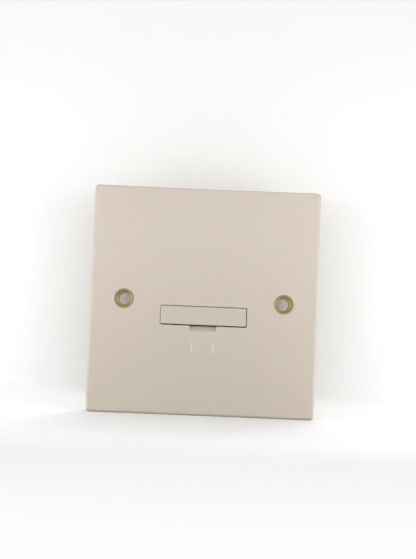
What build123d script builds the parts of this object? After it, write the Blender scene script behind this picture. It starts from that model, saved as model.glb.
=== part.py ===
from build123d import *

import math
import os

os.makedirs("parts", exist_ok=True)

# Unswitched fused spur unit for a single square wall box, in millimetres.
# X points right and Z up as seen from the front, and the front faces -Y.
# The wall lies at y = 0, and the origin is midway between the two fixing holes.

# Front plate
PLATE_SIZE = 86.0
PLATE_DEPTH = 9.0
WEB = 2.4
RIM_WALL = 2.2
PLATE_CORNER = 1.6
PLATE_EDGE = 0.9
CAVITY_CORNER = 1.0
RIM_DRAFT = 1.0
RIB = 1.2
RIB_RISE = 1.6
RIB_SPACING = 32.0
LOCATING_RISE = 1.8

# Fixing holes and the drawn eyelets that line them
FIXING_PITCH = 60.3
FIXING_HOLE = 4.3
EYELET_WALL = 0.5
EYELET_CUP = 7.2
EYELET_RECESS = 0.3
EYELET_CUP_DEPTH = 2.3
EYELET_CONE_DEPTH = 0.7
EYELET_FLANGE = 8.4
EYELET_BEND = 0.5
EYELET_CLEAR = 0.1
BOSS_WALL = 1.5
BOSS_STAND_BACK = 2.2

# Cartridge fuse and the carrier that holds it
FUSE_Z = -5.5
FUSE_LENGTH = 25.4
FUSE_DIAMETER = 6.35
CAP_LENGTH = 5.8
CAP_WALL = 0.38
CAP_CLEAR = 0.02
CAP_EDGE = 0.4
ARM_THICKNESS = 2.85
ARM_INSET = 0.4
ARM_CORE = 1.4
ARM_FRAME = 1.2
FUSE_END_GAP = 0.15
FUSE_COVER = 0.225
CARRIER_FACE = 2.2
CARRIER_PROUD = 0.2
CARRIER_GAP = 0.25
CARRIER_PLAY = 0.08
CARRIER_EDGE = 0.2
CARRIER_CORNER = 0.25
SADDLE_WIDTH = 9.0
SADDLE_WALL = 1.6
SADDLE_CLEAR = 0.05
SADDLE_WRAP = 0.9
SADDLE_RELIEF = 0.05

# Screwdriver ramp below the carrier and the slot behind the carrier's lip
NOTCH_WIDTH = 10.0
NOTCH_HEIGHT = 2.1
NOTCH_LAND = 0.4
LIP = 1.1
LIP_SLOT = 0.9
LIP_GAP = 0.4

# Brass strip, fuse contacts and earth strap
STRIP = 0.7
FUSE_TO_STRIP = 0.15
JAW_WIDTH = 3.8
JAW_CLEAR = 0.1
JAW_PAST_CENTRE = 1.2
JAW_LEAD = 1.2
JAW_FLARE = 0.5
STRIP_BEND = 0.8
TAIL_WIDTH = 3.0
EARTH_BAR = 2.6
EARTH_RING_LAND = 1.7
EARTH_JOG = 2.8
CREEPAGE = 3.6

# Terminal blocks and their clamping screws
BLOCK_WIDTH = 7.4
BLOCK_HEIGHT = 8.4
BLOCK_FLOOR = 1.4
BLOCK_THREAD = 3.8
BLOCK_ROUND = 1.4
WIRE_HOLE = 4.4
TWIN_PITCH = 8.4
TWIN_GAP = 8.0
SCREW_DIAMETER = 4.0
SCREW_CLEAR = 0.05
SCREW_HEAD = 6.0
SCREW_HEAD_HEIGHT = 2.0
SCREW_HEAD_EDGE = 0.4
SCREW_TIP = 0.5
SCREW_SLOT = 1.0
SCREW_SLOT_DEPTH = 1.1
SCREW_BACKED_OUT = 0.3
SCREW_TRAVEL = 3.6
HEAD_STOP_GAP = 0.2

# Terminal base
BASE_WALL = 1.3
BASE_CORNER = 1.5
SHELF = 2.2
CHAMBER_HEIGHT = 9.8
CHAMBER_WALL = 1.2
POCKET_GAP = 0.2
WELL_GAP = 0.5
ENTRY_GAP = 0.4
ENTRY_FLARE = 0.5
LINE_DROP = 5.0
TOWER_CORNER = 1.2
TOWER_EDGE = 0.7
PART_GAP = 0.3
NECK_GAP = 0.4
LUG_RELIEF = 1.0

# Self-tapping screws that hold the base to the plate
TAPPER_DIAMETER = 2.9
TAPPER_HEAD = 5.4
TAPPER_HEAD_HEIGHT = 1.9
TAPPER_DOME = 1.0
TAPPER_REACH = 6.4
TAPPER_POINT = 1.2
TAPPER_CLEAR = 0.05
TAPPER_CROSS = 3.4
TAPPER_SLOT = 0.9
TAPPER_SLOT_DEPTH = 0.9
TAPPER_BOSS_WALL = 1.1
SEAT_WALL = 1.2
SEAT_RISE = 2.4
CENTRE_TAPPER_DROP = 7.6

# Levels along Y, from the front face to the back of the base
FRONT = -PLATE_DEPTH
WEB_BACK = FRONT + WEB
CARRIER_FRONT = FRONT - CARRIER_PROUD
CARRIER_BACK = CARRIER_FRONT + CARRIER_FACE
FUSE_Y = CARRIER_BACK + SADDLE_WALL + FUSE_DIAMETER / 2
DECK_FRONT = FUSE_Y + FUSE_DIAMETER / 2 + FUSE_TO_STRIP
DECK_BACK = DECK_FRONT + STRIP
SHELF_BACK = DECK_BACK + SHELF
WIRE_Y = DECK_BACK + BLOCK_FLOOR + WIRE_HOLE / 2
BLOCK_BACK = WIRE_Y + WIRE_HOLE / 2 + BLOCK_THREAD
SCREW_TIP_Y = WIRE_Y + WIRE_HOLE / 2 + SCREW_BACKED_OUT
HEAD_FRONT = BLOCK_BACK + HEAD_STOP_GAP + SCREW_TRAVEL
BASE_BACK = HEAD_FRONT + SCREW_HEAD_HEIGHT + HEAD_STOP_GAP
BOSS_BACK = -BOSS_STAND_BACK
RING_BACK = BOSS_BACK + STRIP
ARM_BACK = DECK_FRONT - FUSE_END_GAP - PART_GAP

# Places and sizes that follow in the plane of the wall
FIXING_X = FIXING_PITCH / 2
FIXING_POINTS = [(-FIXING_X, 0), (FIXING_X, 0)]
BOSS_RADIUS = EYELET_CUP / 2 + BOSS_WALL
ARM_INNER = FUSE_LENGTH / 2 + FUSE_END_GAP
ARM_OUTER = ARM_INNER + ARM_THICKNESS
CARRIER_WIDTH = 2 * (ARM_OUTER + ARM_INSET)
CARRIER_HEIGHT = FUSE_DIAMETER + 2 * FUSE_COVER
APERTURE_WIDTH = CARRIER_WIDTH + 2 * CARRIER_GAP
APERTURE_TOP = FUSE_Z + CARRIER_HEIGHT / 2 + CARRIER_GAP
APERTURE_BOTTOM = FUSE_Z - CARRIER_HEIGHT / 2 - LIP_GAP
BARREL_RADIUS = FUSE_DIAMETER / 2 - CAP_WALL - CAP_CLEAR

CHAMBER_TOP = FUSE_Z + CHAMBER_HEIGHT / 2
CHAMBER_BOTTOM = FUSE_Z - CHAMBER_HEIGHT / 2
TAPPER_BOSS = TAPPER_DIAMETER / 2 + TAPPER_CLEAR + TAPPER_BOSS_WALL
TAPPER_X = CARRIER_WIDTH / 2 + CHAMBER_WALL + PART_GAP + TAPPER_BOSS
BASE_WIDTH = 2 * (TAPPER_X + TAPPER_BOSS + PART_GAP + BASE_WALL)

EARTH_BAR_BOTTOM = CHAMBER_TOP + CHAMBER_WALL + PART_GAP
EARTH_BAR_TOP = EARTH_BAR_BOTTOM + EARTH_BAR
TOP_ROW_Z = EARTH_BAR_TOP + CREEPAGE + BLOCK_HEIGHT / 2
LOW_ROW_Z = CHAMBER_BOTTOM - CHAMBER_WALL - LINE_DROP - BLOCK_HEIGHT / 2
TWIN_WIDTH = BLOCK_WIDTH + TWIN_PITCH
TWIN_X = TWIN_GAP / 2 + TWIN_WIDTH / 2
LINE_X = ARM_OUTER - TAIL_WIDTH / 2 + STRIP
BASE_TOP = TOP_ROW_Z + BLOCK_HEIGHT / 2 + POCKET_GAP + BASE_WALL
BASE_BOTTOM = LOW_ROW_Z - BLOCK_HEIGHT / 2 - POCKET_GAP - BASE_WALL
BASE_HEIGHT = BASE_TOP - BASE_BOTTOM
BASE_Z = (BASE_TOP + BASE_BOTTOM) / 2

TAPPER_POINTS = [
    (-TAPPER_X, FUSE_Z),
    (TAPPER_X, FUSE_Z),
    (0, CHAMBER_BOTTOM - CHAMBER_WALL - CENTRE_TAPPER_DROP),
]
TAPPER_SEAT_Y = SHELF_BACK + SEAT_RISE - TAPPER_HEAD_HEIGHT - HEAD_STOP_GAP
TAPPER_TIP_Y = DECK_BACK - TAPPER_REACH

# Each terminal: node, centre x, centre z, side that its wires come from (1 up, -1 down),
# and the x of each wire hole under the name of the screw that clamps it
TERMINALS = [
    (
        "neutral_terminal", -TWIN_X, TOP_ROW_Z, 1,
        {
            "neutral_load_screw": -TWIN_X - TWIN_PITCH / 2,
            "neutral_supply_screw": -TWIN_X + TWIN_PITCH / 2,
        },
    ),
    (
        "earth_terminal", TWIN_X, TOP_ROW_Z, 1,
        {
            "earth_load_screw": TWIN_X - TWIN_PITCH / 2,
            "earth_supply_screw": TWIN_X + TWIN_PITCH / 2,
        },
    ),
    ("line_load_terminal", -LINE_X, LOW_ROW_Z, -1, {"line_load_screw": -LINE_X}),
    ("line_supply_terminal", LINE_X, LOW_ROW_Z, -1, {"line_supply_screw": LINE_X}),
]


def level(y):
    """Plane at depth y that faces the front, with x to the right and z upwards."""
    return Plane.XZ.offset(-y)


def block_width(holes):
    """Width of a terminal block with these wire holes."""
    return BLOCK_WIDTH + TWIN_PITCH * (len(holes) - 1)


def eyelet_line(centre_x):
    """Middle line of the eyelet's half section, from its lip to its rolled flange."""
    cup = EYELET_CUP / 2 - EYELET_WALL / 2
    neck = FIXING_HOLE / 2 + EYELET_WALL / 2
    lip = FRONT + EYELET_RECESS
    cone = lip + EYELET_CUP_DEPTH
    flange = RING_BACK + EYELET_WALL / 2
    return [
        (centre_x + cup, lip),
        (centre_x + cup, cone),
        (centre_x + neck, cone + EYELET_CONE_DEPTH),
        (centre_x + neck, flange),
        (centre_x + EYELET_FLANGE / 2, flange),
    ]


# Front plate: a shallow moulded box, open at the back, with bosses and pads inside
PAD_LENGTH = BLOCK_HEIGHT - 2 * BASE_WALL
with BuildPart() as front_plate:
    with BuildSketch(level(0)):
        RectangleRounded(PLATE_SIZE, PLATE_SIZE, PLATE_CORNER)
    extrude(amount=PLATE_DEPTH, taper=RIM_DRAFT)
    fillet(front_plate.faces().sort_by(Axis.Y)[0].edges(), radius=PLATE_EDGE)
    with BuildSketch(level(0)):
        RectangleRounded(PLATE_SIZE - 2 * RIM_WALL, PLATE_SIZE - 2 * RIM_WALL, CAVITY_CORNER)
    extrude(amount=PLATE_DEPTH - WEB, taper=RIM_DRAFT, mode=Mode.SUBTRACT)
    # Low stiffening ribs from the base's locating rib out to the rim
    with BuildSketch(level(WEB_BACK)):
        with Locations((-RIB_SPACING / 2, 0), (RIB_SPACING / 2, 0)):
            Rectangle(RIB, PLATE_SIZE - 2 * RIM_WALL)
        with Locations((0, -RIB_SPACING / 2), (0, RIB_SPACING / 2)):
            Rectangle(PLATE_SIZE - 2 * RIM_WALL, RIB)
        with Locations((0, BASE_Z)):
            Rectangle(BASE_WIDTH + 2 * PART_GAP, BASE_HEIGHT + 2 * PART_GAP, mode=Mode.SUBTRACT)
    extrude(amount=-RIB_RISE)
    with BuildSketch(level(WEB_BACK)):
        with Locations((0, BASE_Z)):
            Rectangle(BASE_WIDTH + 2 * (PART_GAP + RIB), BASE_HEIGHT + 2 * (PART_GAP + RIB))
            Rectangle(BASE_WIDTH + 2 * PART_GAP, BASE_HEIGHT + 2 * PART_GAP, mode=Mode.SUBTRACT)
    extrude(amount=-LOCATING_RISE)
    # Bosses for the eyelets and for the self-tapping screws
    with BuildSketch(level(WEB_BACK)):
        with Locations(*FIXING_POINTS):
            Circle(BOSS_RADIUS)
    extrude(amount=WEB_BACK - BOSS_BACK)
    with BuildSketch(level(WEB_BACK)):
        with Locations(*TAPPER_POINTS):
            Circle(TAPPER_BOSS)
    extrude(amount=WEB_BACK - DECK_BACK)
    # Crossed ribs that press each terminal and its strip against the base's shelf
    for name, x, z, side, holes in TERMINALS:
        pad_end = DECK_BACK if name == "neutral_terminal" else DECK_FRONT
        with BuildSketch(level(WEB_BACK)):
            with Locations((x, z)):
                Rectangle(block_width(holes) - 2 * BASE_WALL, RIB)
            for hole_x in holes.values():
                with Locations((hole_x, z)):
                    Rectangle(RIB, PAD_LENGTH)
        extrude(amount=WEB_BACK - pad_end)
    # Way through for the fuse carrier, with the screwdriver ramp below it
    with BuildSketch(level(FRONT)):
        with Locations((CARRIER_PLAY, (APERTURE_TOP + APERTURE_BOTTOM) / 2)):
            RectangleRounded(
                APERTURE_WIDTH, APERTURE_TOP - APERTURE_BOTTOM, CARRIER_CORNER + CARRIER_GAP
            )
    extrude(amount=-WEB, mode=Mode.SUBTRACT)
    with BuildSketch(Plane.YZ):
        with BuildLine():
            Polyline(
                (FRONT, APERTURE_BOTTOM - NOTCH_HEIGHT),
                (FRONT, APERTURE_BOTTOM),
                (WEB_BACK - NOTCH_LAND, APERTURE_BOTTOM),
                close=True,
            )
        make_face()
    extrude(amount=NOTCH_WIDTH / 2, both=True, mode=Mode.SUBTRACT)
    # Stepped holes that the eyelets sit in, and pilot holes for the self-tapping screws
    for centre_x, centre_z in FIXING_POINTS:
        lip, cone, neck, flange, rim = eyelet_line(centre_x)
        spread = EYELET_WALL / 2 + EYELET_CLEAR
        cone_slope = math.atan2(neck[1] - cone[1], cone[0] - neck[0])
        drop = spread * math.tan((math.pi / 2 - cone_slope) / 2)
        with BuildSketch(Plane.XY):
            with BuildLine():
                Polyline(
                    (centre_x, FRONT),
                    (lip[0] + spread, FRONT),
                    (cone[0] + spread, cone[1] + drop),
                    (neck[0] + spread, neck[1] + drop),
                    (neck[0] + spread, BOSS_BACK),
                    (centre_x, BOSS_BACK),
                    close=True,
                )
            make_face()
        revolve(axis=Axis((centre_x, 0, 0), (0, 1, 0)), mode=Mode.SUBTRACT)
    with BuildSketch(level(DECK_BACK)):
        with Locations(*TAPPER_POINTS):
            Circle(TAPPER_DIAMETER / 2 + TAPPER_CLEAR)
    extrude(amount=DECK_BACK - TAPPER_TIP_Y + PART_GAP, mode=Mode.SUBTRACT)
front_plate.part.label = "front_plate"
export_step(front_plate.part, "parts/front_plate.step")


# Eyelets: drawn brass tubes whose back ends are rolled over the earth strap's rings
for name, (centre_x, centre_z) in zip(("left_eyelet", "right_eyelet"), FIXING_POINTS):
    with BuildPart() as eyelet:
        with BuildSketch(Plane.XY):
            with BuildLine():
                FilletPolyline(*eyelet_line(centre_x), radius=EYELET_BEND)
            trace(line_width=EYELET_WALL)
        revolve(axis=Axis((centre_x, 0, 0), (0, 1, 0)))
    eyelet.part.label = name
    export_step(eyelet.part, f"parts/{name}.step")


# Earth strap: one stamped strip, stepped at both ends from the shelf up to the eyelet bosses
RING_RADIUS = FIXING_HOLE / 2 + EYELET_WALL + EYELET_BEND + EARTH_RING_LAND
RING_HOLE = FIXING_HOLE / 2 + EYELET_WALL + EYELET_BEND / 2 + EYELET_CLEAR
JOG_OUTER = BASE_WIDTH / 2 - BASE_WALL - STRIP_BEND
JOG_INNER = JOG_OUTER - EARTH_JOG
ARM_BOTTOM = FUSE_Z + TAPPER_BOSS + NECK_GAP
RING_LEVEL = (BOSS_BACK + RING_BACK) / 2
DECK_LEVEL = (DECK_FRONT + DECK_BACK) / 2
STRAP_END = FIXING_X + RING_RADIUS
with BuildPart() as earth_strap:
    with BuildSketch(Plane.XY):
        with BuildLine():
            FilletPolyline(
                (-STRAP_END, RING_LEVEL),
                (-JOG_OUTER, RING_LEVEL),
                (-JOG_INNER, DECK_LEVEL),
                (JOG_INNER, DECK_LEVEL),
                (JOG_OUTER, RING_LEVEL),
                (STRAP_END, RING_LEVEL),
                radius=STRIP_BEND,
            )
        trace(line_width=STRIP)
    extrude(amount=BASE_HEIGHT, both=True)
    with BuildSketch(level(DECK_BACK)) as strap_outline:
        with Locations((0, (EARTH_BAR_BOTTOM + EARTH_BAR_TOP) / 2)):
            Rectangle(2 * JOG_INNER, EARTH_BAR)
        for side in (-1, 1):
            with Locations((side * (JOG_INNER + FIXING_X) / 2, (ARM_BOTTOM + EARTH_BAR_TOP) / 2)):
                Rectangle(FIXING_X - JOG_INNER, EARTH_BAR_TOP - ARM_BOTTOM)
        with Locations((TWIN_X, (EARTH_BAR_BOTTOM + TOP_ROW_Z + BLOCK_HEIGHT / 2) / 2)):
            Rectangle(TWIN_WIDTH - BASE_WALL, TOP_ROW_Z + BLOCK_HEIGHT / 2 - EARTH_BAR_BOTTOM)
        with Locations(*FIXING_POINTS):
            Circle(RING_RADIUS)
            Circle(RING_HOLE, mode=Mode.SUBTRACT)
    extrude(amount=DECK_BACK - BOSS_BACK, mode=Mode.INTERSECT)
earth_strap.part.label = "earth_strap"
export_step(earth_strap.part, "parts/earth_strap.step")


# Fuse contacts: a strip folded up into two jaws, with a tail that runs down to its terminal
JAW_X = FUSE_LENGTH / 2 - CAP_LENGTH / 2
JAW_LINE = FUSE_DIAMETER / 2 + JAW_CLEAR + STRIP / 2
JAW_MOUTH = FUSE_Y - JAW_PAST_CENTRE
TAIL_X = ARM_OUTER - TAIL_WIDTH / 2
for name, side in (("load_fuse_contact", -1), ("supply_fuse_contact", 1)):
    with BuildPart() as contact:
        with BuildSketch(Plane.YZ.offset(side * JAW_X)):
            with BuildLine():
                FilletPolyline(
                    (JAW_MOUTH - JAW_LEAD, FUSE_Z - JAW_LINE - JAW_FLARE),
                    (JAW_MOUTH, FUSE_Z - JAW_LINE),
                    (DECK_LEVEL, FUSE_Z - JAW_LINE),
                    (DECK_LEVEL, FUSE_Z + JAW_LINE),
                    (JAW_MOUTH, FUSE_Z + JAW_LINE),
                    (JAW_MOUTH - JAW_LEAD, FUSE_Z + JAW_LINE + JAW_FLARE),
                    radius=STRIP_BEND,
                )
            trace(line_width=STRIP)
        extrude(amount=JAW_WIDTH / 2, both=True)
        tab_bottom = LOW_ROW_Z - PAD_LENGTH / 2
        tab_top = LOW_ROW_Z + BLOCK_HEIGHT / 2
        with BuildSketch(level(DECK_FRONT)):
            with Locations((side * (JAW_X + TAIL_X) / 2, FUSE_Z)):
                Rectangle(TAIL_X - JAW_X + TAIL_WIDTH, TAIL_WIDTH)
            with Locations((side * TAIL_X, (FUSE_Z + tab_bottom) / 2)):
                Rectangle(TAIL_WIDTH, FUSE_Z - tab_bottom + TAIL_WIDTH)
            with Locations((side * LINE_X, (tab_top + tab_bottom) / 2)):
                Rectangle(BLOCK_WIDTH - BASE_WALL, tab_top - tab_bottom)
        extrude(amount=-STRIP)
    contact.part.label = name
    export_step(contact.part, f"parts/{name}.step")


# Terminal blocks: extruded brass, cross-drilled for the wires and tapped for the screws
for name, x, z, side, holes in TERMINALS:
    with BuildPart() as block:
        with BuildSketch(level(DECK_BACK)):
            with Locations((x, z)):
                Rectangle(block_width(holes), BLOCK_HEIGHT)
        extrude(amount=DECK_BACK - BLOCK_BACK)
        back_edges = block.faces().sort_by(Axis.Y)[-1].edges().filter_by(Axis.Z)
        fillet(back_edges, radius=BLOCK_ROUND)
        with BuildSketch(Plane.XY.offset(z)):
            for hole_x in holes.values():
                with Locations((hole_x, WIRE_Y)):
                    Circle(WIRE_HOLE / 2)
        extrude(amount=BLOCK_HEIGHT, both=True, mode=Mode.SUBTRACT)
        with BuildSketch(level(BLOCK_BACK)):
            for hole_x in holes.values():
                with Locations((hole_x, z)):
                    Circle(SCREW_DIAMETER / 2 + SCREW_CLEAR)
        extrude(amount=BLOCK_BACK - WIRE_Y, mode=Mode.SUBTRACT)
    block.part.label = name
    export_step(block.part, f"parts/{name}.step")


# Clamping screws: slotted heads, drawn backed out so that the wire holes are clear
for terminal, x, z, side, holes in TERMINALS:
    for name, hole_x in holes.items():
        with BuildPart() as screw:
            with BuildSketch(level(SCREW_TIP_Y)):
                with Locations((hole_x, z)):
                    Circle(SCREW_DIAMETER / 2)
            extrude(amount=SCREW_TIP_Y - HEAD_FRONT)
            chamfer(screw.faces().sort_by(Axis.Y)[0].edges(), length=SCREW_TIP)
            with BuildSketch(level(HEAD_FRONT)):
                with Locations((hole_x, z)):
                    Circle(SCREW_HEAD / 2)
            extrude(amount=-SCREW_HEAD_HEIGHT)
            fillet(screw.faces().sort_by(Axis.Y)[-1].edges(), radius=SCREW_HEAD_EDGE)
            with BuildSketch(level(HEAD_FRONT + SCREW_HEAD_HEIGHT)):
                with Locations((hole_x, z)):
                    Rectangle(SCREW_HEAD, SCREW_SLOT)
            extrude(amount=SCREW_SLOT_DEPTH, mode=Mode.SUBTRACT)
        screw.part.label = name
        export_step(screw.part, f"parts/{name}.step")


# Terminal base: a moulded tray behind the plate, with a fuse chamber and terminal towers
TRAY_DEPTH = DECK_BACK - WEB_BACK
WELL_RADIUS = SCREW_HEAD / 2 + WELL_GAP
ENTRY_RADIUS = WIRE_HOLE / 2 + ENTRY_GAP
TOWER_WALL = POCKET_GAP + BASE_WALL
with BuildPart() as terminal_base:
    with BuildSketch(level(WEB_BACK)):
        with Locations((0, BASE_Z)):
            RectangleRounded(BASE_WIDTH, BASE_HEIGHT, BASE_CORNER)
    extrude(amount=WEB_BACK - SHELF_BACK)
    for name, x, z, side, holes in TERMINALS:
        tower_width = block_width(holes) + 2 * TOWER_WALL
        with BuildSketch(level(SHELF_BACK)):
            with Locations((x, z)):
                RectangleRounded(tower_width, BLOCK_HEIGHT + 2 * TOWER_WALL, TOWER_CORNER)
        extrude(amount=SHELF_BACK - BASE_BACK)
    fillet(terminal_base.faces().sort_by(Axis.Y).group_by(Axis.Y)[-1].edges(), radius=TOWER_EDGE)
    with BuildSketch(level(SHELF_BACK)):
        with Locations(*TAPPER_POINTS):
            Circle(TAPPER_HEAD / 2 + PART_GAP + SEAT_WALL)
    extrude(amount=-SEAT_RISE)
    # Tray inside the outer wall, leaving the walls of the fuse chamber standing
    with BuildSketch(level(WEB_BACK)):
        with Locations((0, BASE_Z)):
            Rectangle(BASE_WIDTH - 2 * BASE_WALL, BASE_HEIGHT - 2 * BASE_WALL)
        with Locations((0, FUSE_Z)):
            Rectangle(
                CARRIER_WIDTH + 2 * CHAMBER_WALL,
                CHAMBER_HEIGHT + 2 * CHAMBER_WALL,
                mode=Mode.SUBTRACT,
            )
            Rectangle(CARRIER_WIDTH, CHAMBER_HEIGHT)
    extrude(amount=-TRAY_DEPTH, mode=Mode.SUBTRACT)
    # Gates in the chamber's lower wall for the contact tails
    gate_bottom = CHAMBER_BOTTOM - CHAMBER_WALL
    with BuildSketch(level(WEB_BACK)):
        for side in (-1, 1):
            with Locations((side * TAIL_X, (CHAMBER_BOTTOM + gate_bottom) / 2)):
                Rectangle(TAIL_WIDTH + 2 * POCKET_GAP, CHAMBER_WALL)
    extrude(amount=-TRAY_DEPTH, mode=Mode.SUBTRACT)
    # Gates in the side walls for the earth strap, and hollows that clear the eyelet bosses
    with BuildSketch(level(WEB_BACK)):
        for side in (-1, 1):
            with Locations((side * (BASE_WIDTH - BASE_WALL) / 2, (ARM_BOTTOM + EARTH_BAR_TOP) / 2)):
                Rectangle(BASE_WALL, EARTH_BAR_TOP - ARM_BOTTOM + 2 * POCKET_GAP)
    extrude(amount=WEB_BACK - RING_BACK, mode=Mode.SUBTRACT)
    with BuildSketch(level(WEB_BACK)):
        with Locations(*FIXING_POINTS):
            Circle(BOSS_RADIUS + LUG_RELIEF)
    extrude(amount=WEB_BACK - SHELF_BACK, mode=Mode.SUBTRACT)
    # Pockets that take the terminal blocks from the front
    with BuildSketch(level(DECK_BACK)):
        for name, x, z, side, holes in TERMINALS:
            with Locations((x, z)):
                Rectangle(block_width(holes) + 2 * POCKET_GAP, BLOCK_HEIGHT + 2 * POCKET_GAP)
    extrude(amount=DECK_BACK - BLOCK_BACK - HEAD_STOP_GAP, mode=Mode.SUBTRACT)
    # Screw wells from the back, and flared wire entries from above and below
    for name, x, z, side, holes in TERMINALS:
        outer_z = z + side * (BLOCK_HEIGHT / 2 + TOWER_WALL)
        for hole_x in holes.values():
            with BuildSketch(level(BASE_BACK)):
                with Locations((hole_x, z)):
                    Circle(WELL_RADIUS)
            extrude(amount=BASE_BACK - BLOCK_BACK - HEAD_STOP_GAP, mode=Mode.SUBTRACT)
            with BuildSketch(Plane.XY.offset(outer_z)):
                with Locations((hole_x, WIRE_Y)):
                    Circle(ENTRY_RADIUS + ENTRY_FLARE)
            with BuildSketch(Plane.XY.offset(outer_z - side * BASE_WALL)):
                with Locations((hole_x, WIRE_Y)):
                    Circle(ENTRY_RADIUS)
            loft(mode=Mode.SUBTRACT)
    # Holes and recessed seats for the self-tapping screws
    with BuildSketch(level(SHELF_BACK + SEAT_RISE)):
        with Locations(*TAPPER_POINTS):
            Circle(TAPPER_HEAD / 2 + PART_GAP)
    extrude(amount=SHELF_BACK + SEAT_RISE - TAPPER_SEAT_Y, mode=Mode.SUBTRACT)
    with BuildSketch(level(SHELF_BACK + SEAT_RISE)):
        with Locations(*TAPPER_POINTS):
            Circle(TAPPER_DIAMETER / 2 + PART_GAP)
    extrude(amount=SHELF_BACK + SEAT_RISE - DECK_BACK, mode=Mode.SUBTRACT)
terminal_base.part.label = "terminal_base"
export_step(terminal_base.part, "parts/terminal_base.step")


# Self-tapping screws: domed heads in the base's seats, points in the plate's bosses
with BuildPart() as assembly_screws:
    for x, z in TAPPER_POINTS:
        head_rim = x + TAPPER_HEAD / 2
        head_top = TAPPER_SEAT_Y + TAPPER_HEAD_HEIGHT
        shank = x + TAPPER_DIAMETER / 2
        with BuildSketch(Plane.XY.offset(z)):
            with BuildLine():
                Polyline(
                    (x, head_top),
                    (x, TAPPER_TIP_Y),
                    (shank, TAPPER_TIP_Y + TAPPER_POINT),
                    (shank, TAPPER_SEAT_Y),
                    (head_rim, TAPPER_SEAT_Y),
                    (head_rim, head_top - TAPPER_DOME),
                )
                TangentArc((x, head_top), (head_rim, head_top - TAPPER_DOME), tangent=(1, 0))
            make_face()
        revolve(axis=Axis((x, 0, z), (0, 1, 0)))
    with BuildSketch(level(TAPPER_SEAT_Y + TAPPER_HEAD_HEIGHT)):
        with Locations(*TAPPER_POINTS):
            Rectangle(TAPPER_CROSS, TAPPER_SLOT)
            Rectangle(TAPPER_SLOT, TAPPER_CROSS)
    extrude(amount=TAPPER_SLOT_DEPTH, mode=Mode.SUBTRACT)
assembly_screws.part.label = "assembly_screws"
export_step(assembly_screws.part, "parts/assembly_screws.step")


# Fuse carrier: a face that fills the aperture, two end arms and a snap saddle for the barrel
SADDLE_HEIGHT = CARRIER_HEIGHT - 2 * SADDLE_RELIEF
with BuildPart() as fuse_carrier:
    with BuildSketch(level(CARRIER_BACK)):
        with Locations((0, FUSE_Z)):
            RectangleRounded(CARRIER_WIDTH, CARRIER_HEIGHT, CARRIER_CORNER)
    extrude(amount=CARRIER_FACE)
    fillet(fuse_carrier.faces().sort_by(Axis.Y)[0].edges(), radius=CARRIER_EDGE)
    with BuildSketch(level(CARRIER_BACK)):
        for side in (-1, 1):
            with Locations((side * (ARM_INNER + ARM_OUTER) / 2, FUSE_Z)):
                Rectangle(ARM_THICKNESS, CARRIER_HEIGHT - 2 * ARM_INSET)
    extrude(amount=CARRIER_BACK - ARM_BACK)
    # Coring hollows in the outer sides of the arms
    core_length = ARM_BACK - CARRIER_BACK - 2 * ARM_FRAME
    for side in (-1, 1):
        with BuildSketch(Plane.YZ.offset(side * ARM_OUTER)):
            with Locations(((ARM_BACK + CARRIER_BACK) / 2, FUSE_Z)):
                Rectangle(core_length, CARRIER_HEIGHT - 2 * (ARM_INSET + ARM_FRAME))
        extrude(amount=-side * ARM_CORE, mode=Mode.SUBTRACT)
    # Snap saddle: a C that reaches just past the middle of the fuse's barrel
    with BuildSketch(Plane.YZ):
        with Locations(((CARRIER_BACK + FUSE_Y + SADDLE_WRAP) / 2, FUSE_Z)):
            Rectangle(FUSE_Y + SADDLE_WRAP - CARRIER_BACK, SADDLE_HEIGHT)
        with Locations((FUSE_Y, FUSE_Z)):
            Circle(BARREL_RADIUS + SADDLE_CLEAR, mode=Mode.SUBTRACT)
    extrude(amount=SADDLE_WIDTH / 2, both=True)
    # Slot behind the lower lip for the screwdriver's tip
    with BuildSketch(level(CARRIER_BACK)):
        with Locations((0, FUSE_Z - CARRIER_HEIGHT / 2 + LIP_SLOT / 2)):
            Rectangle(NOTCH_WIDTH, LIP_SLOT)
    extrude(amount=CARRIER_FACE - LIP, mode=Mode.SUBTRACT)
fuse_carrier.part.label = "fuse_carrier"
export_step(fuse_carrier.part, "parts/fuse_carrier.step")


# Cartridge fuse: a ceramic barrel with a drawn metal cap pressed on each end
CAP_END = FUSE_LENGTH / 2
with BuildPart() as fuse_barrel:
    with BuildSketch(Plane.YZ):
        with Locations((FUSE_Y, FUSE_Z)):
            Circle(BARREL_RADIUS)
    extrude(amount=CAP_END - CAP_WALL, both=True)
fuse_barrel.part.label = "fuse_barrel"
export_step(fuse_barrel.part, "parts/fuse_barrel.step")

for name, side in (("left_fuse_cap", -1), ("right_fuse_cap", 1)):
    with BuildPart() as fuse_cap:
        with BuildSketch(Plane.YZ.offset(side * CAP_END)):
            with Locations((FUSE_Y, FUSE_Z)):
                Circle(FUSE_DIAMETER / 2)
        extrude(amount=-side * CAP_LENGTH)
        end_face = fuse_cap.faces().filter_by(GeomType.PLANE).sort_by(Axis.X)[0 if side < 0 else -1]
        fillet(end_face.edges(), radius=CAP_EDGE)
        with BuildSketch(Plane.YZ.offset(side * (CAP_END - CAP_WALL))):
            with Locations((FUSE_Y, FUSE_Z)):
                Circle(BARREL_RADIUS + CAP_CLEAR)
        extrude(amount=-side * CAP_LENGTH, mode=Mode.SUBTRACT)
    fuse_cap.part.label = name
    export_step(fuse_cap.part, f"parts/{name}.step")
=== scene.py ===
import math

import bmesh
import bpy
from mathutils import Matrix, Vector


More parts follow.
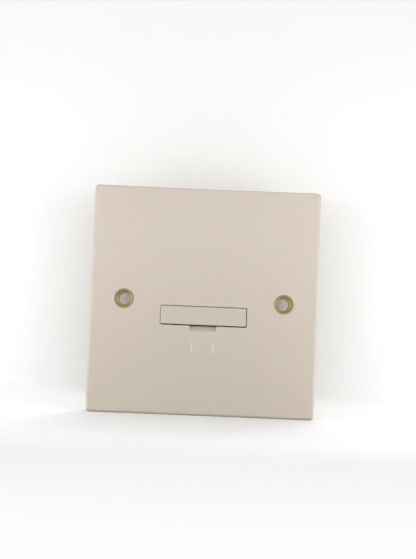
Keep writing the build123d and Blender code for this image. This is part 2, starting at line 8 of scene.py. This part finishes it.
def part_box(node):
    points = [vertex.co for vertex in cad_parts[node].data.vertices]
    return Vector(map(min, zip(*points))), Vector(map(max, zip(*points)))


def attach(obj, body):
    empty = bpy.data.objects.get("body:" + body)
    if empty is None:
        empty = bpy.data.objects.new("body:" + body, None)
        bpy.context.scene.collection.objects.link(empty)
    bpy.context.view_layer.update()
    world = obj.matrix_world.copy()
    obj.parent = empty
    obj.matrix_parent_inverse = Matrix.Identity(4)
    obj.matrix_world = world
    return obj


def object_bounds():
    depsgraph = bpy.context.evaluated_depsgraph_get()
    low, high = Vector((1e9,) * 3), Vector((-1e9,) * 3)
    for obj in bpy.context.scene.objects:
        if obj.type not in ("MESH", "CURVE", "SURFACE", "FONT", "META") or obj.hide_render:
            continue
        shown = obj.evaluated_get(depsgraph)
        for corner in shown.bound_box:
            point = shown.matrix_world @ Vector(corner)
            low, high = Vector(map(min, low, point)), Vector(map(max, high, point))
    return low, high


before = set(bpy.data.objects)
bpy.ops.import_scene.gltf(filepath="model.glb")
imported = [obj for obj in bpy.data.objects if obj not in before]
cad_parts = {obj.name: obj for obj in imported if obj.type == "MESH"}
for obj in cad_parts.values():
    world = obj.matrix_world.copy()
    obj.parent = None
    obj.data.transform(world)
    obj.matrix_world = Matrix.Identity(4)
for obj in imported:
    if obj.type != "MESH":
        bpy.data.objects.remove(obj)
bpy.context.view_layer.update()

# Front plate: a shallow box, compression-moulded in one piece from warm off-white urea, with the
# carrier's aperture, the screwdriver ramp and the bosses. Two screws hold it to its wall box.
MM = 0.001
FLOW_CLOUD = 16 * MM
POLISH_PATCH = 3 * MM
# The powder's grain and the mould's peel are too fine to show, so both are drawn coarser
POWDER_GRAIN = 0.7 * MM
MOULD_PEEL = 0.6 * MM
PEEL_HEIGHT = 0.012 * MM
# Sockets of a colour Mix node: the two colours that go in, and the mixed one that comes out
MIX_FIRST, MIX_SECOND, MIX_COLOUR = 6, 7, 2


def linear(hex_colour):
    """An sRGB hex colour as the linear colour that a shader takes."""
    channels = [int(hex_colour[i:i + 2], 16) / 255 for i in (1, 3, 5)]
    return [c / 12.92 if c <= 0.04045 else ((c + 0.055) / 1.055) ** 2.4 for c in channels] + [1.0]


def add_node(owner, kind, inputs=None, **settings):
    """Adds a node to a material or world, with its settings, and fills or links its inputs."""
    tree = owner.node_tree
    node = tree.nodes.new("ShaderNode" + kind)
    for name, value in settings.items():
        setattr(node, name, value)
    for name, value in (inputs or {}).items():
        if isinstance(value, bpy.types.NodeSocket):
            tree.links.new(value, node.inputs[name])
        else:
            node.inputs[name].default_value = value
    return node


def blank_material(name):
    """A new material with an empty node tree, and where on the part each point lies."""
    material = bpy.data.materials.new(name)
    material.use_nodes = True
    material.node_tree.nodes.clear()
    return material, add_node(material, "TexCoord").outputs["Object"]


def finish_material(material, shader):
    """Sends the shader to the material's output."""
    add_node(material, "OutputMaterial", {"Surface": shader.outputs[0]})
    return material


def dress(node_name, material):
    """Gives a CAD node's object its finish."""
    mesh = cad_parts[node_name].data
    mesh.materials.clear()
    mesh.materials.append(material)


def moulded_urea(name, pale, deep):
    """Urea from a polished mould: satin, faintly clouded by the flow of the powder, with a fine peel."""
    material, place = blank_material(name)
    cloud = add_node(material, "TexNoise", {"Vector": place, "Scale": 1 / FLOW_CLOUD, "Detail": 3.0})
    fleck = add_node(material, "TexNoise", {"Vector": place, "Scale": 1 / POWDER_GRAIN, "Detail": 2.0})
    blend = add_node(material, "Math", {0: cloud.outputs[0], 1: fleck.outputs[0]}, operation="MULTIPLY")
    colour = add_node(
        material,
        "Mix",
        {0: blend.outputs[0], MIX_FIRST: linear(pale), MIX_SECOND: linear(deep)},
        data_type="RGBA",
    )
    polish = add_node(material, "TexNoise", {"Vector": place, "Scale": 1 / POLISH_PATCH, "Detail": 4.0})
    satin = add_node(material, "MapRange", {"Value": polish.outputs[0], "To Min": 0.36, "To Max": 0.5})
    peel = add_node(material, "TexNoise", {"Vector": place, "Scale": 1 / MOULD_PEEL, "Detail": 2.0})
    bump = add_node(
        material, "Bump", {"Height": peel.outputs[0], "Strength": 0.35, "Distance": PEEL_HEIGHT}
    )
    shader = add_node(
        material,
        "BsdfPrincipled",
        {
            "Base Color": colour.outputs[MIX_COLOUR],
            "Roughness": satin.outputs[0],
            "IOR": 1.54,
            "Normal": bump.outputs[0],
        },
    )
    return finish_material(material, shader)


plate_urea = moulded_urea("urea_moulded_satin", "#CEC3B5", "#C7BBAD")
dress("front_plate", plate_urea)


# Fuse sign: a box with a line through it, cut into the mould, so it stands just proud of the
# plate's face below the ramp. It is the plate's urea, painted paler where it stands out as a painted
# highlight.
PLATE_FACE_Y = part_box("front_plate")[0].y
SIGN_BELOW_CARRIER = 8.5 * MM
SIGN_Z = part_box("fuse_carrier")[0].z - SIGN_BELOW_CARRIER
# Sizes of the figure itself, in millimetres
SIGN_WIDTH = 8.5
SIGN_HEIGHT = 4.0
SIGN_LINE = 13.3
SIGN_POST = 0.55
SIGN_RULE = 0.14
SIGN_RISE = 0.16
SIGN_EDGE = 0.05
SUNK = 0.02


def raised_figure(name, outlines, rise, place, material, edge):
    """A flat figure that stands proud of a face, its foot just sunk in. Outlines are in mm, and
    inner ones are holes. place gives the point at a spot of the figure and a height over the face."""
    outward = place(0, 0, 1) - place(0, 0, 0)
    shape = bmesh.new()
    for outline in outlines:
        ring = [shape.verts.new(place(u, v, -SUNK)) for u, v in outline]
        for start, end in zip(ring, ring[1:] + ring[:1]):
            shape.edges.new((start, end))
    bmesh.ops.triangle_fill(shape, use_beauty=True, edges=shape.edges[:])
    shape.normal_update()
    for face in shape.faces:
        if face.normal.dot(outward) < 0:
            face.normal_flip()
    mesh = bpy.data.meshes.new(name)
    shape.to_mesh(mesh)
    shape.free()
    mesh.materials.append(material)
    figure = bpy.data.objects.new(name, mesh)
    bpy.context.scene.collection.objects.link(figure)
    thicken = figure.modifiers.new("thicken", "SOLIDIFY")
    thicken.thickness = (rise + SUNK) * MM
    thicken.offset = 1.0
    soften = figure.modifiers.new("soften", "BEVEL")
    soften.width = edge * MM
    soften.segments = 3
    soften.limit_method = "ANGLE"
    return figure


def rectangle(left, bottom, right, top):
    return [(left, bottom), (right, bottom), (right, top), (left, top)]


def on_plate_face(u, v, height):
    return Vector((u * MM, PLATE_FACE_Y - height * MM, SIGN_Z + v * MM))


box_u, box_v = SIGN_WIDTH / 2, SIGN_HEIGHT / 2
line_u, line_v = SIGN_LINE / 2, SIGN_RULE / 2
window_u, window_v = box_u - SIGN_POST, box_v - SIGN_RULE
sign_outline = [
    (-line_u, -line_v), (-box_u, -line_v), (-box_u, -box_v), (box_u, -box_v),
    (box_u, -line_v), (line_u, -line_v), (line_u, line_v), (box_u, line_v),
    (box_u, box_v), (-box_u, box_v), (-box_u, line_v), (-line_u, line_v),
]
sign_windows = [
    rectangle(-window_u, line_v, window_u, window_v),
    rectangle(-window_u, -window_v, window_u, -line_v),
]
fuse_sign = raised_figure(
    "fuse_sign",
    [sign_outline] + sign_windows,
    SIGN_RISE,
    on_plate_face,
    # Painted highlight: the raised strokes get a paler urea than the plate around them
    moulded_urea("urea_moulded_painted_highlight", "#E2DACD", "#DCD3C6"),
    SIGN_EDGE,
)
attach(fuse_sign, "unit")


# Ejector marks: the low round lands that the mould's pins leave on the back of the plate, one in
# each upper and lower bay between the ribs. They are one with the plate.
PLATE_WEB = 2.4 * MM
WEB_BACK_Y = PLATE_FACE_Y + PLATE_WEB
# Places and sizes on the face, in millimetres
EJECTOR_COLUMNS = (28.4, 0.0, -28.4)
EJECTOR_ROWS = (29.0, -34.5)
EJECTOR_RADIUS = 2.0
EJECTOR_RISE = 0.12
EJECTOR_EDGE = 0.05


def disc(centre_u, centre_v, radius, points=40):
    turns = [2 * math.pi * i / points for i in range(points)]
    return [(centre_u - radius * math.cos(turn), centre_v + radius * math.sin(turn)) for turn in turns]


def on_back(face_y, centre_x=0.0, centre_z=0.0):
    """Where a figure goes on a face that looks backwards, so that it reads from behind."""

    def place(u, v, height):
        return Vector((centre_x - u * MM, face_y + height * MM, centre_z + v * MM))

    return place


plate_ejector_marks = raised_figure(
    "plate_ejector_marks",
    [disc(u, v, EJECTOR_RADIUS) for u in EJECTOR_COLUMNS for v in EJECTOR_ROWS],
    EJECTOR_RISE,
    on_back(WEB_BACK_Y),
    plate_urea,
    EJECTOR_EDGE,
)
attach(plate_ejector_marks, "unit")


# Eyelets and earth strap: eyelets drawn from brass sheet, pushed in from the front and rolled over
# the rings of the stamped earth strap at the back. Plain brass, dulled by handling.
DULL_PATCH = 2.5 * MM
LINE_HEIGHT = 0.01 * MM
# The lines of drawing and rolling are hundredths of a millimetre apart, so they are drawn coarser
DRAWN_LINES = 0.15 * MM
ROLLED_LINES = 0.12 * MM
# Painted reflection: the eyelet is left paler in a ring around the seat's depth
SEAT_DEPTH = 2.7 * MM
PAINTED_RING_REACH = 0.6 * MM
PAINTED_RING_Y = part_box("left_eyelet")[0].y + SEAT_DEPTH


def worked_metal(name, bright, dull, smooth, rough, lines, stretch, tarnish=None):
    """Drawn, rolled or turned metal: soft in its gleam, with fine lines along the way it was worked
    and dull patches. A tarnish covers it but for a ring at the eyelet's seat, left bright as a painted
    reflection."""
    material, place = blank_material(name)
    along = add_node(material, "Mapping", {"Vector": place, "Scale": stretch})
    streaks = add_node(
        material, "TexNoise", {"Vector": along.outputs[0], "Scale": 1 / lines, "Detail": 3.0}
    )
    patches = add_node(material, "TexNoise", {"Vector": place, "Scale": 1 / DULL_PATCH, "Detail": 4.0})
    share = add_node(
        material, "MapRange", {"Value": patches.outputs[0], "From Min": 0.38, "From Max": 0.68}
    )
    colour = add_node(
        material,
        "Mix",
        {0: share.outputs[0], MIX_FIRST: linear(bright), MIX_SECOND: linear(dull)},
        data_type="RGBA",
    )
    # Painted reflection: the tarnish fades out in a ring around the seat's depth, so that ring shows
    # paler
    if tarnish:
        depth = add_node(material, "SeparateXYZ", {"Vector": place})
        past = add_node(material, "Math", {0: depth.outputs["Y"], 1: PAINTED_RING_Y}, operation="SUBTRACT")
        away = add_node(material, "Math", {0: past.outputs[0]}, operation="ABSOLUTE")
        cover = add_node(material, "MapRange", {"Value": away.outputs[0], "From Max": PAINTED_RING_REACH})
        colour = add_node(
            material,
            "Mix",
            {0: cover.outputs[0], MIX_FIRST: colour.outputs[MIX_COLOUR], MIX_SECOND: linear(tarnish)},
            data_type="RGBA",
        )
    gleam = add_node(
        material, "MapRange", {"Value": patches.outputs[0], "To Min": smooth, "To Max": rough}
    )
    bump = add_node(
        material, "Bump", {"Height": streaks.outputs[0], "Strength": 0.3, "Distance": LINE_HEIGHT}
    )
    shader = add_node(
        material,
        "BsdfPrincipled",
        {
            "Base Color": colour.outputs[MIX_COLOUR],
            "Metallic": 1.0,
            "Roughness": gleam.outputs[0],
            "Normal": bump.outputs[0],
        },
    )
    return finish_material(material, shader)


eyelet_brass = worked_metal(
    "brass_drawn_dull", "#D3C596", "#C0B184", 0.4, 0.58, DRAWN_LINES, (1, 0.1, 1), tarnish="#8F7E5A"
)
for eyelet in ("left_eyelet", "right_eyelet"):
    dress(eyelet, eyelet_brass)
strip_brass = worked_metal(
    "brass_strip_rolled", "#C9A964", "#A98B4E", 0.22, 0.42, ROLLED_LINES, (0.06, 1, 1)
)
dress("earth_strap", strip_brass)


# Terminal base: a deep tray of matt white polyamide, injection moulded, with the fuse chamber and
# the terminal towers. It drops over the plate's pads and clamps every metal piece in place.
MILKY_FLOW = 9 * MM
# The grain that spark erosion leaves in the mould is too fine to show, so it is drawn coarser
EROSION_GRAIN = 0.3 * MM
GRAIN_HEIGHT = 0.02 * MM


def moulded_polyamide():
    """Polyamide from a spark-eroded mould: matt and milky, with an even fine grain."""
    material, place = blank_material("polyamide_moulded_matt")
    flow = add_node(material, "TexNoise", {"Vector": place, "Scale": 1 / MILKY_FLOW, "Detail": 3.0})
    colour = add_node(
        material,
        "Mix",
        {0: flow.outputs[0], MIX_FIRST: linear("#E2DED4"), MIX_SECOND: linear("#D6D1C5")},
        data_type="RGBA",
    )
    grain = add_node(material, "TexNoise", {"Vector": place, "Scale": 1 / EROSION_GRAIN, "Detail": 2.0})
    matt = add_node(material, "MapRange", {"Value": grain.outputs[0], "To Min": 0.5, "To Max": 0.66})
    bump = add_node(
        material, "Bump", {"Height": grain.outputs[0], "Strength": 0.5, "Distance": GRAIN_HEIGHT}
    )
    shader = add_node(
        material,
        "BsdfPrincipled",
        {
            "Base Color": colour.outputs[MIX_COLOUR],
            "Roughness": matt.outputs[0],
            "IOR": 1.53,
            "Normal": bump.outputs[0],
        },
    )
    return finish_material(material, shader)


base_polyamide = moulded_polyamide()
dress("terminal_base", base_polyamide)


# Terminal marks: the letters L and N and the earth sign, raised from the base's back beside the
# terminals that they name, and the lands of the mould's pins. All are moulded with the base.
BASE_SHELF = 2.2 * MM
SHELF_BACK_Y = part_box("neutral_terminal")[0].y + BASE_SHELF
MARK_BELOW_BLOCK = 4.4 * MM
MARK_ABOVE_BLOCK = 4.0 * MM
# Sizes of the figures themselves, in millimetres
MARK_RISE = 0.35
MARK_EDGE = 0.06
STROKE = 0.6
LETTER_HEIGHT = 3.0
L_WIDTH = 1.8
N_WIDTH = 2.2
N_CROSSING = 0.55
EARTH_WIDTHS = (3.0, 2.0, 1.0)
EARTH_BAR = 0.45
EARTH_PITCH = 0.7
EARTH_BAR_TOP = 0.15
BASE_EJECTORS = ((8.0, -8.0), (-8.0, -8.0))
BASE_EJECTOR_RADIUS = 1.5

top, l_side, n_side = LETTER_HEIGHT / 2, L_WIDTH / 2, N_WIDTH / 2
letter_l = [
    (-l_side, -top), (l_side, -top), (l_side, STROKE - top),
    (STROKE - l_side, STROKE - top), (STROKE - l_side, top), (-l_side, top),
]
letter_n = [
    (-n_side, -top), (STROKE - n_side, -top), (STROKE - n_side, N_CROSSING),
    (n_side - STROKE, -top), (n_side, -top), (n_side, top),
    (n_side - STROKE, top), (n_side - STROKE, -N_CROSSING), (STROKE - n_side, top), (-n_side, top),
]
earth_bars = []
for step, width in enumerate(EARTH_WIDTHS):
    bar_top = EARTH_BAR_TOP - EARTH_PITCH * step
    earth_bars.append(rectangle(-width / 2, bar_top - EARTH_BAR, width / 2, bar_top))
# The stem rises from the longest bar, so the two are one outline
stem = STROKE / 2
earth_bars[0][3:3] = [(stem, EARTH_BAR_TOP), (stem, top), (-stem, top), (-stem, EARTH_BAR_TOP)]
marks = {
    "neutral": [letter_n],
    "earth": earth_bars,
    "line_load": [letter_l],
    "line_supply": [letter_l],
}
for wire, outlines in marks.items():
    low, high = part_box(wire + "_terminal")
    mark_x = (low.x + high.x) / 2
    mark_z = low.z - MARK_BELOW_BLOCK if low.z > 0 else high.z + MARK_ABOVE_BLOCK
    mark = raised_figure(
        wire + "_mark",
        outlines,
        MARK_RISE,
        on_back(SHELF_BACK_Y, mark_x, mark_z),
        base_polyamide,
        MARK_EDGE,
    )
    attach(mark, "unit")
base_ejector_marks = raised_figure(
    "base_ejector_marks",
    [disc(u, v, BASE_EJECTOR_RADIUS) for u, v in BASE_EJECTORS],
    EJECTOR_RISE,
    on_back(SHELF_BACK_Y),
    base_polyamide,
    EJECTOR_EDGE,
)
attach(base_ejector_marks, "unit")


# Terminal blocks and fuse contacts: blocks cut from extruded brass bar, drilled and tapped, and
# contacts folded from the strip that the earth strap comes from. The base holds them all.
# The lines that extrusion leaves are drawn coarser than they are
EXTRUDED_LINES = 0.2 * MM
block_brass = worked_metal(
    "brass_bar_extruded", "#CBAA62", "#AE8F50", 0.2, 0.4, EXTRUDED_LINES, (1, 1, 0.05)
)
for block in ("neutral_terminal", "earth_terminal", "line_load_terminal", "line_supply_terminal"):
    dress(block, block_brass)
for contact in ("load_fuse_contact", "supply_fuse_contact"):
    dress(contact, strip_brass)


# Clamping screws: turned from brass rod, with slotted heads. Each is driven into its block from
# the back and clamps one wire.
TURNED_LINES = 0.1 * MM
screw_brass = worked_metal("brass_turned", "#D2B26A", "#B69758", 0.2, 0.36, TURNED_LINES, (1, 1, 1))
for wire in ("neutral_load", "neutral_supply", "earth_load", "earth_supply", "line_load", "line_supply"):
    dress(wire + "_screw", screw_brass)


# Self-tapping screws: cold-headed steel, zinc plated, with cross recesses. They are driven from the
# back through the base into the plate's bosses.
# The crystals of bright zinc are too fine to show, so they are drawn coarser
ZINC_CRYSTAL = 0.8 * MM


def zinc_plate():
    """Bright zinc on steel: cool grey, with a faint frosty spangle."""
    material, place = blank_material("steel_zinc_plated")
    spangle = add_node(material, "TexVoronoi", {"Vector": place, "Scale": 1 / ZINC_CRYSTAL})
    colour = add_node(
        material,
        "Mix",
        {0: spangle.outputs["Distance"], MIX_FIRST: linear("#C4C5C3"), MIX_SECOND: linear("#A3A5A4")},
        data_type="RGBA",
    )
    frost = add_node(
        material, "MapRange", {"Value": spangle.outputs["Distance"], "To Min": 0.25, "To Max": 0.42}
    )
    shader = add_node(
        material,
        "BsdfPrincipled",
        {"Base Color": colour.outputs[MIX_COLOUR], "Metallic": 1.0, "Roughness": frost.outputs[0]},
    )
    return finish_material(material, shader)


dress("assembly_screws", zinc_plate())


# Fuse: a tube of unglazed ceramic with a nickel-plated brass cap pressed on each end. It snaps
# into the carrier's saddle.
CERAMIC_SPECK = 0.35 * MM
SPECK_HEIGHT = 0.02 * MM
CAP_LINES = 0.1 * MM


def fired_ceramic():
    """Unglazed steatite: chalky off-white with faint dark specks."""
    material, place = blank_material("ceramic_unglazed")
    specks = add_node(material, "TexNoise", {"Vector": place, "Scale": 1 / CERAMIC_SPECK, "Detail": 2.0})
    share = add_node(
        material, "MapRange", {"Value": specks.outputs[0], "From Min": 0.6, "From Max": 0.75}
    )
    colour = add_node(
        material,
        "Mix",
        {0: share.outputs[0], MIX_FIRST: linear("#E6E1D6"), MIX_SECOND: linear("#C9C2B4")},
        data_type="RGBA",
    )
    bump = add_node(
        material, "Bump", {"Height": specks.outputs[0], "Strength": 0.4, "Distance": SPECK_HEIGHT}
    )
    shader = add_node(
        material,
        "BsdfPrincipled",
        {"Base Color": colour.outputs[MIX_COLOUR], "Roughness": 0.62, "Normal": bump.outputs[0]},
    )
    return finish_material(material, shader)


dress("fuse_barrel", fired_ceramic())
cap_nickel = worked_metal("nickel_on_brass", "#C8C5BE", "#ACA79E", 0.28, 0.42, CAP_LINES, (1, 0.1, 0.1))
for cap in ("left_fuse_cap", "right_fuse_cap"):
    dress(cap, cap_nickel)


# Fuse carrier: a drawer of the same urea as the plate, from another shot and so a shade deeper.
# It is pressed in from the front until its face is flush.
dress("fuse_carrier", moulded_urea("urea_moulded_carrier", "#CCC1B3", "#C5B9AB"))


# Studio sweep: pale paper that lies under the part and turns up close behind it. It shows only from
# its own front, so that the part can be looked at from behind, and there the floor runs on.
FLOOR_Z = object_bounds()[0][2]
SWEEP_Y = 19 * MM
SWEEP_RADIUS = 12 * MM
SWEEP_STEPS = 16
STAGE_HALF = 1.5
STAGE_TOP = 1.2
UPRIGHT = math.radians(90)
# The foot of the curve is shaded as if it were flat, so that no seam shows from behind
FLAT_TO = math.radians(50)
curve_y = SWEEP_Y - SWEEP_RADIUS
profile = [(-STAGE_HALF, FLOOR_Z)]
leans = [0.0]
for step in range(SWEEP_STEPS + 1):
    turn = UPRIGHT * step / SWEEP_STEPS
    profile.append(
        (curve_y + SWEEP_RADIUS * math.sin(turn), FLOOR_Z + SWEEP_RADIUS * (1 - math.cos(turn)))
    )
    leans.append(UPRIGHT * max(0.0, turn - FLAT_TO) / (UPRIGHT - FLAT_TO))
profile += [(SWEEP_Y, STAGE_TOP), (STAGE_HALF, FLOOR_Z)]
leans += [UPRIGHT, 0.0]
sheet = bmesh.new()
rows = [[sheet.verts.new((x, y, z)) for x in (-STAGE_HALF, STAGE_HALF)] for y, z in profile]
far_row = rows.pop()
for lower, upper in list(zip(rows, rows[1:])) + [(rows[1], far_row)]:
    sheet.faces.new((lower[0], lower[1], upper[1], upper[0]))
sheet.normal_update()
sweep_mesh = bpy.data.meshes.new("sweep")
sheet.to_mesh(sweep_mesh)
sheet.free()
for polygon in sweep_mesh.polygons:
    polygon.use_smooth = True
sweep_mesh.normals_split_custom_set_from_vertices(
    [(0, -math.sin(lean), math.cos(lean)) for lean in leans for end in (0, 1)]
)
sweep = bpy.data.objects.new("sweep", sweep_mesh)
bpy.context.scene.collection.objects.link(sweep)
sweep.visible_shadow = False
sweep.visible_diffuse = False
sweep.visible_glossy = False

# Paper fibres are finer than this, and are drawn coarser so that they show
PAPER_FIBRE = 4 * MM
SHADE_REACH = 120 * MM
# Painted shade: where the part covers the paper, between COVER_FROM and COVER_TO from the middle, its
# glow falls to a tenth and its colour turns warm grey
COVER_FROM, COVER_TO = 34 * MM, 44 * MM
PAINTED_COVER_LIGHT = 0.1
FADE_FROM, FADE_TO = 50 * MM, 300 * MM
PAPER_LIFT = 0.42


def studio_paper():
    """Matt paper with a little glow: white, with painted shadow that dims the glow around the part,
    painted shade, dim and warm, where the part covers it, and fading to plain white further out."""
    material, place = blank_material("paper_sweep")
    fibres = add_node(material, "TexNoise", {"Vector": place, "Scale": 1 / PAPER_FIBRE, "Detail": 3.0})
    tone = add_node(
        material,
        "Mix",
        {0: fibres.outputs[0], MIX_FIRST: linear("#CFCECC"), MIX_SECOND: linear("#CBCAC8")},
        data_type="RGBA",
    )
    reach = add_node(material, "VectorMath", {0: place}, operation="LENGTH").outputs["Value"]
    painted_cover_share = add_node(
        material,
        "MapRange",
        {"Value": reach, "From Min": COVER_FROM, "From Max": COVER_TO, "To Min": PAINTED_COVER_LIGHT},
    )
    # Painted shade: a warm grey colour where the part covers the paper
    shade = add_node(
        material,
        "Mix",
        {0: painted_cover_share.outputs[0], MIX_FIRST: linear("#B3AA99"), MIX_SECOND: tone.outputs[MIX_COLOUR]},
        data_type="RGBA",
    )
    matt = add_node(material, "BsdfDiffuse", {"Color": shade.outputs[MIX_COLOUR]})
    # Painted shadow: the paper's glow is dimmed where the part occludes it
    open_sky = add_node(material, "AmbientOcclusion", {"Distance": SHADE_REACH}, samples=16)
    share = add_node(
        material, "Math", {0: open_sky.outputs["AO"], 1: painted_cover_share.outputs[0]}, operation="MULTIPLY"
    )
    painted_shade_glow = add_node(material, "Math", {0: share.outputs[0], 1: PAPER_LIFT}, operation="MULTIPLY")
    lift = add_node(material, "Emission", {"Color": linear("#FFFFFF"), "Strength": painted_shade_glow.outputs[0]})
    near = add_node(material, "AddShader", {0: matt.outputs[0], 1: lift.outputs[0]})
    fade = add_node(
        material,
        "MapRange",
        {"Value": reach, "From Min": FADE_FROM, "From Max": FADE_TO},
        interpolation_type="SMOOTHSTEP",
    )
    far = add_node(material, "Emission", {"Color": linear("#FFFFFF"), "Strength": 1.0})
    front = add_node(
        material, "MixShader", {0: fade.outputs[0], 1: near.outputs[0], 2: far.outputs[0]}
    )
    back = add_node(material, "BsdfTransparent")
    side = add_node(material, "NewGeometry")
    paper = add_node(
        material,
        "MixShader",
        {0: side.outputs["Backfacing"], 1: front.outputs[0], 2: back.outputs[0]},
    )
    return finish_material(material, paper)


sweep_mesh.materials.append(studio_paper())


# White room: the camera, and what the metal mirrors, see plain white, while the room itself gives
# only a little light.
ROOM_LIGHT = 0.25
world = bpy.data.worlds.new("white_room")
bpy.context.scene.world = world
world.use_nodes = True
world.node_tree.nodes.clear()
ray = add_node(world, "LightPath")
seen = add_node(
    world, "Math", {0: ray.outputs["Is Camera Ray"], 1: ray.outputs["Is Glossy Ray"]}, operation="MAXIMUM"
)
seen_any = add_node(
    world, "Math", {0: seen.outputs[0], 1: ray.outputs["Is Transmission Ray"]}, operation="MAXIMUM"
)
room_dim = add_node(world, "Background", {"Color": linear("#FFFFFF"), "Strength": ROOM_LIGHT})
room_white = add_node(world, "Background", {"Color": linear("#FFFFFF"), "Strength": 1.0})
room = add_node(
    world, "MixShader", {0: seen_any.outputs[0], 1: room_dim.outputs[0], 2: room_white.outputs[0]}
)
add_node(world, "OutputWorld", {"Surface": room.outputs[0]})


# Lamps: two softboxes light the face, strips beside and before it give its slow gradient, narrow
# rims draw the light edges, and one softbox behind lights the back. Places and sizes are in metres.
CENTRE = (0, 0, 0)
RIM_AIM = (0, -0.006, 0)
RIM_WATTS = 0.03


def area_lamp(name, place, aim, width, height, watts):
    light = bpy.data.lights.new(name, "AREA")
    light.shape = "RECTANGLE"
    light.size = width
    light.size_y = height
    light.energy = watts
    lamp = bpy.data.objects.new(name, light)
    lamp.location = place
    lamp.rotation_euler = (Vector(aim) - Vector(place)).to_track_quat("-Z", "Y").to_euler()
    lamp.visible_camera = False
    bpy.context.scene.collection.objects.link(lamp)


for name, side, strip_watts in (("left", -1, 0.048), ("right", 1, 0.052)):
    area_lamp(name + "_softbox", (side * 0.3, -0.28, 0.02), CENTRE, 0.25, 0.3, 0.37)
    area_lamp(name + "_strip", (side * 0.12, -0.06, 0), (side * 0.03, 0, 0), 0.04, 0.16, strip_watts)
    area_lamp(name + "_rim", (side * 0.18, -0.02, 0), RIM_AIM, 0.02, 0.12, RIM_WATTS)
area_lamp("top_rim", (0, -0.02, 0.22), RIM_AIM, 0.12, 0.02, RIM_WATTS)
area_lamp("front_strip", (0, -0.14, 0.045), (0, 0, 0.045), 0.3, 0.03, 0.086)
area_lamp("rear_softbox", (0.1, 0.45, 0.4), CENTRE, 0.4, 0.4, 3.0)


# Camera: almost straight in front, a little below the middle and tilted, as the plate was seen.
# The focal length is in pixels of an image that is 559 high, and the angles are in degrees.
AIM = Vector((1.193, -9.0, 8.341)) * MM
DISTANCE = 400 * MM
AZIMUTH, ELEVATION, ROLL = (math.radians(angle) for angle in (-0.144, -2.805, 2.343))
FOCAL_PIXELS = 1059.95
IMAGE_HEIGHT = 559
towards = Vector(
    (
        math.cos(ELEVATION) * math.sin(AZIMUTH),
        -math.cos(ELEVATION) * math.cos(AZIMUTH),
        math.sin(ELEVATION),
    )
)
level_right = (-towards).cross(Vector((0, 0, 1))).normalized()
level_up = level_right.cross(-towards)
right = level_right * math.cos(ROLL) + level_up * math.sin(ROLL)
up = level_up * math.cos(ROLL) - level_right * math.sin(ROLL)
view = bpy.data.cameras.new("view")
view.sensor_fit = "VERTICAL"
view.sensor_height = 24
view.lens = FOCAL_PIXELS * view.sensor_height / IMAGE_HEIGHT
view.clip_start = 10 * MM
camera = bpy.data.objects.new("camera", view)
turned = Matrix((right, up, towards)).transposed().to_4x4()
camera.matrix_world = Matrix.Translation(AIM + towards * DISTANCE) @ turned
bpy.context.scene.collection.objects.link(camera)
bpy.context.scene.camera = camera
bpy.context.scene.view_settings.view_transform = "Standard"
